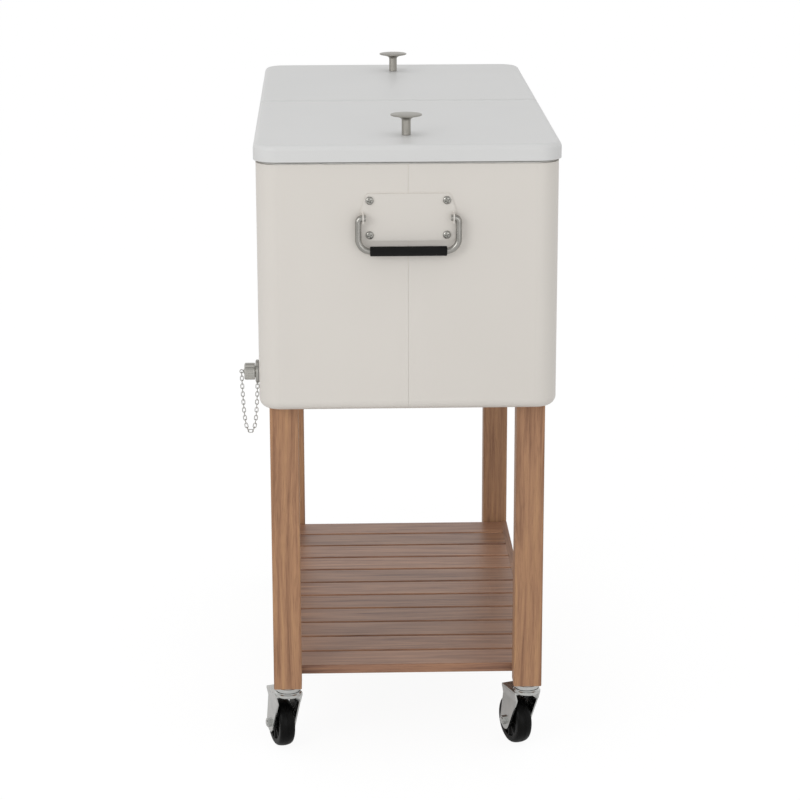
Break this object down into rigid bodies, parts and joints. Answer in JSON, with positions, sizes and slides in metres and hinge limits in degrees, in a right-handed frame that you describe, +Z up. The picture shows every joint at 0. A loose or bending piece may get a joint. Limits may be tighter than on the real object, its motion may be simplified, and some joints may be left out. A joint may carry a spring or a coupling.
{
  "type": "patio cooler",
  "caption": "Insulated patio ice cooler on tall wooden legs with casters, split hinged lids, bail handles, a capped drain with chain, a bottle opener and a slatted shelf.",
  "frame": {"origin": "on the floor under the middle of the cooler", "axes": "+X to the cooler's right end, +Y to the back with the drain, +Z up"},
  "size_m": [0.901, 0.4901, 0.9785],
  "materials": {
    "painted_shell": "satin",
    "painted_lid": "satin",
    "stainless": "brushed",
    "zinc_steel": "satin",
    "plated_chain": "polished",
    "cast_iron": "matt",
    "leg_wood": "oiled",
    "slat_wood": "oiled",
    "black_plastic": "matt",
    "black_tread": "matt",
    "foam": "matt",
    "seal_rubber": "matt"
  },
  "bodies": {
    "cabinet": {"front_shell": "painted_shell", "back_shell": "painted_shell", "base_pan": "zinc_steel", "tub": "stainless", "insulation": "foam", "hinge_beam": "zinc_steel", "hinge_pins": "zinc_steel", "legs": "leg_wood", "leg_studs": "zinc_steel", "nut_plates": "zinc_steel", "shelf_rails": "slat_wood", "shelf_slats": "slat_wood", "slat_screws": "zinc_steel", "rail_dowels": "leg_wood", "left_handle_plate": "painted_shell", "right_handle_plate": "painted_shell", "panel_screws": "stainless", "drain_spigot": "stainless", "drain_flange": "stainless", "drain_washers": "seal_rubber", "bottle_opener": "cast_iron", "caster_stems": "zinc_steel"},
    "left_lid": {"left_lid_skin": "painted_lid", "left_lid_foam": "foam", "left_lid_panel": "stainless", "left_lid_seal": "seal_rubber", "left_lid_hinge": "zinc_steel", "left_knob": "stainless", "left_knob_screw": "zinc_steel"},
    "left_bail_handle": {"left_bail": "stainless", "left_grip": "black_plastic"},
    "right_lid": {"right_lid_skin": "painted_lid", "right_lid_foam": "foam", "right_lid_panel": "stainless", "right_lid_seal": "seal_rubber", "right_lid_hinge": "zinc_steel", "right_knob": "stainless", "right_knob_screw": "zinc_steel"},
    "right_bail_handle": {"right_bail": "stainless", "right_grip": "black_plastic"},
    "eye_group": {"cap_eye": "stainless"},
    "cap_group": {"drain_cap": "stainless"},
    "cap_chain": {"chain_cap_side": "plated_chain"},
    "flange_chain": {"chain_flange_side": "plated_chain"},
    "front_left_swivel": {"front_left_fork": "zinc_steel", "front_left_axle": "zinc_steel"},
    "front_left_roller": {"front_left_wheel": "black_tread"},
    "back_left_swivel": {"back_left_fork": "zinc_steel", "back_left_axle": "zinc_steel"},
    "back_left_roller": {"back_left_wheel": "black_tread"},
    "front_right_swivel": {"front_right_fork": "zinc_steel", "front_right_axle": "zinc_steel"},
    "front_right_roller": {"front_right_wheel": "black_tread"},
    "back_right_swivel": {"back_right_fork": "zinc_steel", "back_right_axle": "zinc_steel"},
    "back_right_roller": {"back_right_wheel": "black_tread"}
  },
  "joints": [
    {"name": "left_lid_hinge_joint", "type": "hinge", "parent": "cabinet", "child": "left_lid", "pos_m": [-0.008, 0, 0.94025], "axis": [0, 1, 0], "range_deg": [0, 82]},
    {"name": "right_lid_hinge_joint", "type": "hinge", "parent": "cabinet", "child": "right_lid", "pos_m": [0.008, 0, 0.94025], "axis": [0, -1, 0], "range_deg": [0, 82]},
    {"name": "left_bail_swing", "type": "hinge", "parent": "cabinet", "child": "left_bail_handle", "pos_m": [-0.4435, 0, 0.844], "axis": [0, 1, 0], "range_deg": [0, 95]},
    {"name": "right_bail_swing", "type": "hinge", "parent": "cabinet", "child": "right_bail_handle", "pos_m": [0.4435, 0, 0.844], "axis": [0, -1, 0], "range_deg": [0, 95]},
    {"name": "cap_travel", "type": "slide", "parent": "cabinet", "child": "eye_group", "axis": [0, 1, 0], "range_m": [0, 0.009]},
    {"name": "cap_turn", "type": "hinge", "parent": "eye_group", "child": "cap_group", "pos_m": [-0.3815, 0.23, 0.606], "axis": [0, 1, 0], "range_deg": [0, 1080]},
    {"name": "cap_chain_swing", "type": "hinge", "parent": "eye_group", "child": "cap_chain", "pos_m": [-0.3815, 0.2427, 0.606], "axis": [1, 0, 0], "range_deg": [-4.29, 0]},
    {"name": "flange_chain_swing", "type": "hinge", "parent": "cabinet", "child": "flange_chain", "pos_m": [-0.3815, 0.2197, 0.58801], "axis": [1, 0, 0], "range_deg": [0, 2.26]},
    {"name": "front_left_swivel_turn", "type": "hinge", "parent": "cabinet", "child": "front_left_swivel", "pos_m": [-0.373, -0.1815, 0.1], "axis": [0, 0, 1], "continuous": true},
    {"name": "front_left_wheel_roll", "type": "hinge", "parent": "front_left_swivel", "child": "front_left_roller", "pos_m": [-0.33764, -0.16757, 0.038], "axis": [-0.3665, 0.9304, 0], "continuous": true},
    {"name": "back_left_swivel_turn", "type": "hinge", "parent": "cabinet", "child": "back_left_swivel", "pos_m": [-0.373, 0.1815, 0.1], "axis": [0, 0, 1], "continuous": true},
    {"name": "back_left_wheel_roll", "type": "hinge", "parent": "back_left_swivel", "child": "back_left_roller", "pos_m": [-0.33696, 0.19356, 0.038], "axis": [-0.3173, 0.9483, 0], "continuous": true},
    {"name": "front_right_swivel_turn", "type": "hinge", "parent": "cabinet", "child": "front_right_swivel", "pos_m": [0.373, -0.1815, 0.1], "axis": [0, 0, 1], "continuous": true},
    {"name": "front_right_wheel_roll", "type": "hinge", "parent": "front_right_swivel", "child": "front_right_roller", "pos_m": [0.40836, -0.16757, 0.038], "axis": [-0.3665, 0.9304, 0], "continuous": true},
    {"name": "back_right_swivel_turn", "type": "hinge", "parent": "cabinet", "child": "back_right_swivel", "pos_m": [0.373, 0.1815, 0.1], "axis": [0, 0, 1], "continuous": true},
    {"name": "back_right_wheel_roll", "type": "hinge", "parent": "back_right_swivel", "child": "back_right_roller", "pos_m": [0.40904, 0.19356, 0.038], "axis": [-0.3173, 0.9483, 0], "continuous": true}
  ],
  "couplings": [
    {"joint": "cap_travel", "follows": "cap_turn", "m_per_rad": 0.00047746},
    {"joint": "cap_chain_swing", "follows": "cap_turn", "ratio": -0.0039685},
    {"joint": "flange_chain_swing", "follows": "cap_turn", "ratio": 0.0020898}
  ]
}
